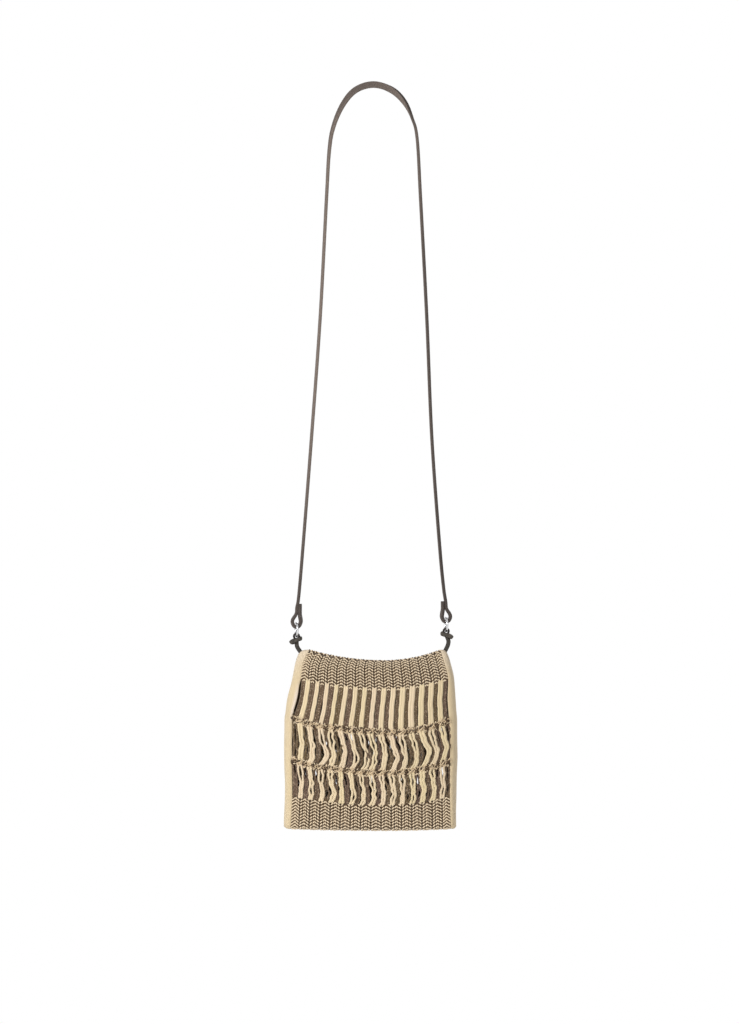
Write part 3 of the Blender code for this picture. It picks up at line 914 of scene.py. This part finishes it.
def layLoop(bm, down, across, side, slot, dice):
    tilt, spin = radians(dice.uniform(*knots["loopTilt"])), dice.uniform(*knots["loopSpin"])
    size = knots["loop"] * dice.uniform(*knots["loopRange"])
    drift = knots["loopDrift"] * dice.uniform(-1, 1)
    at, right, up, out = clothFrame(down + drift, across, side)
    rise = knots["rise"] + knots["loopRise"] + dice.uniform(*knots["loopLift"])
    at += out * (rise - knots["driftFall"] * abs(drift))
    basis = Matrix((right, up, out)).transposed().to_4x4()
    whole = Matrix.Translation(at) @ basis @ Matrix.Rotation(spin, 4, "Z") @ Matrix.Rotation(tilt, 4, "X")

    def place(u, v):
        ringAngle, angle = 2 * pi * v, 2 * pi * u
        reach = size + knots["loopYarn"] * cos(angle)
        local = Vector((reach * cos(ringAngle), reach * knots["loopFlat"] * sin(ringAngle),
                        knots["loopYarn"] * sin(angle)))
        return whole @ local, 0.5

    layGrid(bm, 5, 10, place, (0.004, 0.012), slot)


def layEnds(bm, down, side, beads, dice):
    # Short ends of yarn, over and under the loops in turn
    count = 2 * knots["ends"]
    for k in range(count):
        line = 1 if k % 2 else -1
        across = min(0.998, max(0.002, (k + dice.uniform(0.1, 0.9)) / count))
        off = line * knots["spread"] * dice.uniform(*knots["spreadRange"])
        at, right, up, out = clothFrame(down + off, across, side)
        at += out * (knots["rise"] + dice.uniform(*knots["endLift"]))
        bead = beads[dice.random() < knots["endCream"]]
        placeBead(bm, bead, at, right, up, out, dice.uniform(-knots["endTurn"], knots["endTurn"]))


def makeKnotRows():
    dice = random.Random(knots["seed"])
    bm = newBmesh()
    beads = [beadMesh("knotBead", knots["endLong"], knots["endThick"], slot) for slot in (0, 1)]
    rows = []
    for top, end in (("knotsATop", "knotsAEnd"), ("knotsBTop", "knotsBEnd")):
        down = (downTo[top] + downTo[end]) / 2 + knots["dip"]
        rows += [(down, -1), (down, 1)]
    for down, side in rows:
        layTwist(bm, down, side, dice)
        for loop in range(knots["loops"]):
            layLoop(bm, down, (loop + 0.5) / knots["loops"], side, 1 if loop % 3 else 0, dice)
    mergeSeams(bm)
    for down, side in rows:
        layEnds(bm, down, side, beads, dice)
    dropBeads(beads)
    return newObject("knotRows", bm, [darkStitch, creamStitch])


netCloth = makeNetCloth()
print("net cloth made:", len(netCloth.data.polygons))
stitchesFront = makeStitches("stitchesFront", -1)
stitchesBack = makeStitches("stitchesBack", 1)
print("stitches made:", len(stitchesFront.data.polygons), len(stitchesBack.data.polygons))
knotRows = makeKnotRows()
print("knot rows made:", len(knotRows.data.polygons))


# The two side gussets of plain cream knit

gusset = {
    "thick": 0.0018,
    "flatWide": 0.052,
    "across": 24,
    "down": 70,
    "dip": 0.0052,
    "dipPower": 4,
    "dipFade": 0.10,  # share of the length over which the dip of the top edge dies out
    "power": 2.4,
    "closing": 0.0011,  # brings its edges to the net's
    "parted": 0.0007,  # what stays open where the net is pulled away from it
    "crease": 0.0009,
    "creaseAt": 0.42,  # share of the width
    "creaseWide": 0.05,
    "creaseSway": 0.04,
    "creaseWaves": 7,  # radians down the length
    "creaseFade": 0.25,  # share of the length over which it sets in
    "ripple": 0.0005,
    "plainTone": 0.95,  # 0 is the pale colour, which the painted light and the random drift run to, and 1 the knit's usual one
    "toneDrift": 0.12,
    "paintedTopLight": 0.4,  # painted light: how much paler the top is, where the light from above falls
    "paleTop": 0.12,
    "paintedInsideLight": 0.9,  # painted light on the seam's inside, which shows in the opening by the left gusset: how much paler it is
    "paleMiddle": 0.29,
    "paleLong": 0.09,
    "paleWide": 0.09,
}


def makeGusset(name, outward):
    bm = newBmesh()
    left = outward < 0

    def place(u, v):
        level = levelAt(gussetChain, gussetDowns, gussetDowns[-1] * v)
        apart = level.gapLeft if left else level.gapRight
        seam = level.left - apart if left else level.right + apart
        closing = max(gusset["closing"], apart - gusset["parted"])
        seam -= outward * closing
        swell = closing + (level.swellLeft if left else level.swellRight)
        angle = pi * (u - 0.5)
        bowed = abs(cos(angle)) ** (2 / gusset["power"])
        depth = copysign(abs(sin(angle)) ** (2 / gusset["power"]), angle) * level.deepEnds
        dip = gusset["dip"] * bowed ** gusset["dipPower"] * max(0.0, 1 - v / gusset["dipFade"]) ** 2
        creaseAt = gusset["creaseAt"] + gusset["creaseSway"] * sin(gusset["creaseWaves"] * v)
        crease = gusset["crease"] * exp(-(((u - creaseAt) / gusset["creaseWide"]) ** 2))
        crease *= min(1.0, v / gusset["creaseFade"])
        ripple = gusset["ripple"] * noise.noise(Vector((u * 3, v * 9, outward * 5.0)))
        x = seam + outward * (swell - crease + ripple) * bowed
        tone = gusset["plainTone"] + gusset["toneDrift"] * noise.noise(Vector((u * 2, v * 5, outward)))
        # Painted light: the top is paler where the light from above falls
        tone -= gusset["paintedTopLight"] * exp(-((v / gusset["paleTop"]) ** 2))
        # Painted light: on the left gusset a pale patch on the seam's inside, where the light falls into the
        # opening
        if left:
            low = ((v - gusset["paleMiddle"]) / gusset["paleLong"]) ** 4
            tone -= gusset["paintedInsideLight"] * exp(-low - (u / gusset["paleWide"]) ** 4)
        return Vector((x, depth, level.zEnds - dip)), tone

    layGrid(bm, gusset["across"], gusset["down"], place, (gusset["flatWide"], gussetDowns[-1]))
    obj = newObject(name, bm, [gussetKnit])
    solid = obj.modifiers.new("Solidify", "SOLIDIFY")
    solid.thickness = gusset["thick"]
    solid.offset = 0.0
    return obj


gussetLeft = makeGusset("gussetLeft", -1)
gussetRight = makeGusset("gussetRight", 1)
print("gussets made")


# The strap: one flat length of leather, turned back on itself round a ring at each end

strap = {
    "wide": 0.0070,
    "thick": 0.0032,
    "round": 0.32,  # the lower, the squarer its section
    "edgeFrom": 0.93,  # share of the half width where a cut edge starts
    "sides": 20,
    "straightStep": 0.008,
    "bendStep": 0.0010,
    "crownStep": 0.003,
    "crownFrom": -0.06,
}
Corner = namedtuple("Corner", "name outward loopX loopZ endUp")
corners = (Corner("Left", -1, -0.0813, -0.5785, 0.0250), Corner("Right", 1, 0.0788, -0.5730, 0.0222))
# Left loop to right loop over the crown. Columns: across, up, degrees that the broad side turns to the front
strapLine = (
    (-0.0789, -0.5452, 6), (-0.0745, -0.4938, 6), (-0.0653, -0.3761, 7), (-0.0560, -0.2477, 7),
    (-0.0492, -0.1193, 8), (-0.0462, -0.0679, 12), (-0.0419, -0.0433, 20), (-0.0320, -0.0199, 36),
    (-0.0182, -0.0038, 57), (0.0011, 0.0021, 78), (0.0205, -0.0037, 112), (0.0340, -0.0165, 148),
    (0.0424, -0.0337, 178), (0.0478, -0.0560, 177), (0.0514, -0.1193, 174), (0.0581, -0.2477, 173),
    (0.0635, -0.3761, 174), (0.0720, -0.4938, 173), (0.0766, -0.5410, 174),
)
# One end loop, from near the cut end round to where the strap runs on. Columns: outward, up, turn of the
# broad side in the left loop and in the right one
loopLine = (
    (-0.0037, 0.0160, 12, 191), (-0.0036, 0.0130, 16, 196), (-0.0042, 0.0095, 18, 198),
    (-0.0045, 0.0055, 15, 196), (-0.0028, 0.0013, 12, 190), (0.0000, 0.0000, 11, 184),
    (0.0028, 0.0013, 11, 174), (0.0044, 0.0050, 11, 170), (0.0041, 0.0078, 10, 170), (0.0026, 0.0105, 9, 171),
    (0.0009, 0.0130, 8, 172), (-0.0001, 0.0160, 7, 173), (-0.0004, 0.0212, 6, 174),
)
cutEnd = (-0.0039, 9, 188)  # outward and turns; each corner has its own height for it
# Painted shade along the strap, darker on the side turned from the light: how far it runs to the dark edge
# colour. Columns: share of the length from the left end, broad faces, cut edges
strapPaintedShades = (
    (0.00, 0.75, 0.85), (0.06, 0.65, 0.85), (0.14, 0.50, 0.42), (0.22, 0.35, 0.12), (0.42, 0.42, 0.10),
    (0.47, 0.62, 0.15), (0.50, 0.56, 0.45), (0.52, 0.42, 0.95), (0.545, 0.25, 0.95), (0.56, 0.35, 0.50),
    (0.60, 0.40, 0.55), (0.66, 0.45, 0.80), (0.86, 0.50, 0.85), (0.93, 0.65, 1.00), (1.00, 0.75, 0.90),
)


def loopPoints(corner):
    outward, *turns = cutEnd
    points = []
    for across, up, left, right in [(outward, corner.endUp, *turns), *loopLine]:
        turn = left if corner.outward < 0 else right
        points.append((corner.loopX + corner.outward * across, 0.0, corner.loopZ + up, turn))
    return points


def strapOutline(u):
    return flatSection(u, strap["wide"], strap["thick"], strap["round"])


# The share of the dark edge colour: the cut edges are darker leather, and faces and edges both carry painted
# shade from the table
def strapEdgeAndShade(u, share):
    column = 2 if onEdge(u, strap["round"], strap["edgeFrom"]) else 1
    for before, after in zip(strapPaintedShades, strapPaintedShades[1:]):
        if share <= after[0]:
            part = (share - before[0]) / (after[0] - before[0])
            return before[column] + (after[column] - before[column]) * part
    return strapPaintedShades[-1][column]


def strapStep(z):
    if z < corners[0].loopZ + corners[0].endUp:
        return strap["bendStep"]
    return strap["crownStep"] if z > strap["crownFrom"] else strap["straightStep"]


def makeStrap():
    left, right = corners
    middle = [(x, 0.0, z, turn) for x, z, turn in strapLine]
    points = loopPoints(left) + middle + loopPoints(right)[::-1]
    line = smoothLine(points, [strapStep(point[2]) for point in points[:-1]])
    reached = lengthsAlong(line)

    def toneOf(u, v):
        sample = round(v * (len(line) + 1)) - 1
        return strapEdgeAndShade(u, reached[min(max(sample, 0), len(line) - 1)] / reached[-1])

    bm = newBmesh()
    sweepLine(bm, line, strapOutline, toneOf, strap["sides"])
    mergeSeams(bm)
    print("strap length", round(reached[-1], 4))
    return newObject("strapBand", bm, [strapLeather])


strapBand = makeStrap()


# The rings, and the laces that tie the bag to them

ring = {
    "wire": 0.0022,
    "outside": 0.0166,
    "gap": 0.0005,  # to the lace that goes round it
    "drop": 0.0026,  # of its centre under the strap's loop
    "turn": 9,  # degrees away from edge on
    "sides": 16,  # faces round the wire
    "steps": 64,  # and along it
}
lace = {
    "broad": 0.0046,
    "thick": 0.0024,
    "round": 0.55,  # the lower, the squarer its section
    "edgeFrom": 0.85,  # share of the half width where a cut edge starts
    "sides": 14,
    "step": 0.0012,
    "endShrink": 0.25,
    "faceTurn": 75.0,
    "eyeFoot": 0.0012,
    "eyeSpans": 6,
    "knotDrop": 0.0114,
    "knotWide": 0.0041,  # from the knot's middle to the middle of the turn round it, at its sides
    "knotDeep": 0.0029,
    "knotTilt": 0.0018,
    "knotPitch": 0.0010,
    "knotRound": 0.85,  # how round the lace is where it is pulled tight
    "knotThicker": 1.6,
    "knotStart": 0.25,  # of a turn
    "turnSpans": 12,  # in one whole turn
    "knotSpans": 14,  # in all, so the turn runs on past its start
    "knotLeast": 0.86,  # size of the lace between the knot's sides
    "knotMore": 0.26,  # and how much more at them
    "knotPower": 1.5,
    "shortEnd": ((0.0035, -0.0030, -0.0006), (0.0068, -0.0024, -0.0030)),  # outward, back and up
}
laceLines = {
    "Left": ((-0.0808, -0.5987), (-0.0785, -0.6030), (-0.0742, -0.6085), (-0.0718, -0.6140)),
    "Right": ((0.0812, -0.5925), (0.0808, -0.5972), (0.0785, -0.6025), (0.0756, -0.6082), (0.0734, -0.6135)),
}


def ringCentre(corner):
    return Vector((corner.loopX, 0.0, corner.loopZ - ring["drop"]))


def makeRing(corner):
    bm = bmesh.new()
    major, minor = (ring["outside"] - ring["wire"]) / 2, ring["wire"] / 2
    upright = Matrix.Translation((major, 0, 0)) @ Matrix.Rotation(radians(90), 4, "X")
    bmesh.ops.create_circle(bm, cap_ends=False, segments=ring["sides"], radius=minor, matrix=upright)
    bmesh.ops.spin(bm, geom=bm.edges[:] + bm.verts[:], cent=(0, 0, 0), axis=(0, 0, 1), angle=2 * pi,
                   steps=ring["steps"], use_merge=True)
    bmesh.ops.remove_doubles(bm, verts=bm.verts, dist=0.00001)
    turned = Matrix.Rotation(radians(ring["turn"]), 4, "Z") @ Matrix.Rotation(radians(90), 4, "Y")
    bmesh.ops.transform(bm, matrix=Matrix.Translation(ringCentre(corner)) @ turned, verts=bm.verts)
    return newObject("ring" + corner.name, bm, [ringSteel])


def laceOutline(u):
    return flatSection(u, lace["broad"], lace["thick"], lace["round"])


def knotOutline(u):
    return flatSection(u, lace["broad"], lace["thick"] * lace["knotThicker"], lace["knotRound"])


def knotFullness(v):
    # The turn is fullest where it folds over at the two sides of the knot
    angle = 2 * pi * (v * lace["knotSpans"] / lace["turnSpans"] + lace["knotStart"])
    return lace["knotLeast"] + lace["knotMore"] * abs(cos(angle)) ** lace["knotPower"]


def laceTone(u, v):
    return 1.0 if onEdge(u, lace["round"], lace["edgeFrom"]) else 0.0


def eyePoints(centre, knot):
    # Up from the knot, over the ring's foot and back down
    radius = ring["wire"] / 2 + ring["gap"] + lace["thick"] / 2
    middle = centre - Vector((0.0, 0.0, (ring["outside"] - ring["wire"]) / 2))
    foot = Vector((lace["eyeFoot"], 0.0, 0.0))
    points = [knot - foot]
    for k in range(lace["eyeSpans"] + 1):
        angle = pi * k / lace["eyeSpans"]
        points.append(middle + radius * Vector((-cos(angle), 0.0, sin(angle))))
    return points + [knot + foot]


def knotPoints(knot, outward):
    # The turn that wraps the knot
    points = []
    for k in range(lace["knotSpans"] + 1):
        angle = 2 * pi * (k / lace["turnSpans"] + lace["knotStart"])
        x, y = lace["knotWide"] * cos(angle), lace["knotDeep"] * sin(angle)
        z = lace["knotPitch"] * (k / lace["knotSpans"] - 0.5) - outward * lace["knotTilt"] * cos(angle)
        points.append(knot + Vector((x, y, z)))
    return points


def makeLace(corner):
    bm = newBmesh()
    centre = ringCentre(corner)
    knot = centre - Vector((0.0, 0.0, lace["knotDrop"]))
    shortEnd = [knot] + [knot + Vector((corner.outward * x, y, z)) for x, y, z in lace["shortEnd"]]
    longEnd = [knot] + [Vector((x, 0.0, z)) for x, z in laceLines[corner.name]]
    back, upright = (0, 1, 0), (0, 0, 1)
    runs = (
        (eyePoints(centre, knot), 0.0, back),
        (shortEnd, 0.0, upright),
        (longEnd, lace["faceTurn"], back),
    )
    for points, turn, reference in runs:
        line = smoothLine([(*p, turn) for p in points], [lace["step"]] * (len(points) - 1))
        sweepLine(bm, line, laceOutline, laceTone, lace["sides"], lace["endShrink"], reference)
    wrap = [(*p, 0.0) for p in knotPoints(knot, corner.outward)]
    line = smoothLine(wrap, [lace["step"] / 2] * lace["knotSpans"])
    sweepLine(bm, line, knotOutline, laceTone, lace["sides"], lace["endShrink"], upright, knotFullness)
    mergeSeams(bm)
    return newObject("lace" + corner.name, bm, [laceLeather])


rings = {corner.name: makeRing(corner) for corner in corners}
laces = {corner.name: makeLace(corner) for corner in corners}
print("strap, rings and laces made")


# Which piece stands for which CAD node

for piece in (netCloth, stitchesFront, stitchesBack, knotRows, gussetLeft, gussetRight, strapBand,
              *rings.values(), *laces.values()):
    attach(piece, "root")
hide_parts("net_cloth")
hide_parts("gusset_left")
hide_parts("gusset_right")
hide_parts("strap")
for corner in corners:
    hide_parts("ring_" + corner.name.lower())
    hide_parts("lace_" + corner.name.lower())


# Floor, light and camera

studio = {
    "floorZ": -1.25,
    "floorSize": 2.2,
    "floorPale": (0.92, 0.92, 0.92, 1),
    "floorDull": (0.88, 0.88, 0.87, 1),
    "target": (0.0, 0.0, -0.55),
    "worldFill": 0.57,
    "sky": (-0.6, 0.6, 0.55, 1.15),  # brighter above than below
}
# Columns: name, place, width and watts
lights = (
    ("key", (-2.1, -2.2, 0.5), 1.2, 60),
    ("fill", (-0.2, -2.6, -0.95), 1.2, 8),
    ("back", (0.6, 2.4, 0.6), 1.6, 22),
)
view = {
    "centreX": -0.0032,
    "centreZ": -0.4553,
    "distance": 6.0,
    "frameHeight": 1.0957,  # of the photograph's frame at the bag
    "sensor": 36.0,
    "farthest": 100.0,
}


def makeFloor():
    bm = bmesh.new()
    bmesh.ops.create_grid(bm, x_segments=2, y_segments=2, size=studio["floorSize"],
                          matrix=Matrix.Translation((0, 0, studio["floorZ"])))
    made, tree, shader = newMaterial("floorPaint", 0.9)
    cloud = noiseAt(tree, objectPlace(tree), 3.0)
    paint = mixColours(tree, cloud, studio["floorPale"], studio["floorDull"])
    tree.links.new(paint, shader.inputs["Base Color"])
    floor = newObject("floor", bm, [made])


def addLight(name, place, size, watts):
    data = bpy.data.lights.new(name, "AREA")
    data.shape = "DISK"
    data.size = size
    data.energy = watts
    light = bpy.data.objects.new(name, data)
    bpy.context.scene.collection.objects.link(light)
    light.location = place
    light.rotation_euler = (Vector(studio["target"]) - Vector(place)).to_track_quat("-Z", "Y").to_euler()


def makeWorld():
    # The camera sees plain white, and the bag is lit by a sky that is a little brighter above
    world = bpy.data.worlds.new("studio")
    bpy.context.scene.world = world
    world.use_nodes = True
    tree = world.node_tree
    fill = tree.nodes["Background"]
    fill.inputs["Strength"].default_value = studio["worldFill"]
    place = addNode(tree, "TexCoord").outputs["Generated"]
    height = addNode(tree, "SeparateXYZ", Vector=place).outputs["Z"]
    tree.links.new(fit(tree, height, *studio["sky"]), fill.inputs["Color"])
    white = addNode(tree, "Background", Color=(1, 1, 1, 1), Strength=1.0)
    seen = addNode(tree, "LightPath").outputs["Is Camera Ray"]
    mixed = addNode(tree, "MixShader", i0=seen, i1=fill.outputs[0], i2=white.outputs[0])
    tree.links.new(mixed.outputs[0], tree.nodes["World Output"].inputs["Surface"])


def makeCamera():
    data = bpy.data.cameras.new("camera")
    data.sensor_width = view["sensor"]
    data.lens = view["sensor"] * view["distance"] / view["frameHeight"]
    data.clip_end = view["farthest"]
    camera = bpy.data.objects.new("camera", data)
    bpy.context.scene.collection.objects.link(camera)
    camera.location = (view["centreX"], -view["distance"], view["centreZ"])
    camera.rotation_euler = (radians(90), 0, 0)
    bpy.context.scene.camera = camera


makeFloor()
makeWorld()
makeCamera()
for light in lights:
    addLight(*light)
bpy.context.scene.view_settings.view_transform = "Standard"
print("studio made")
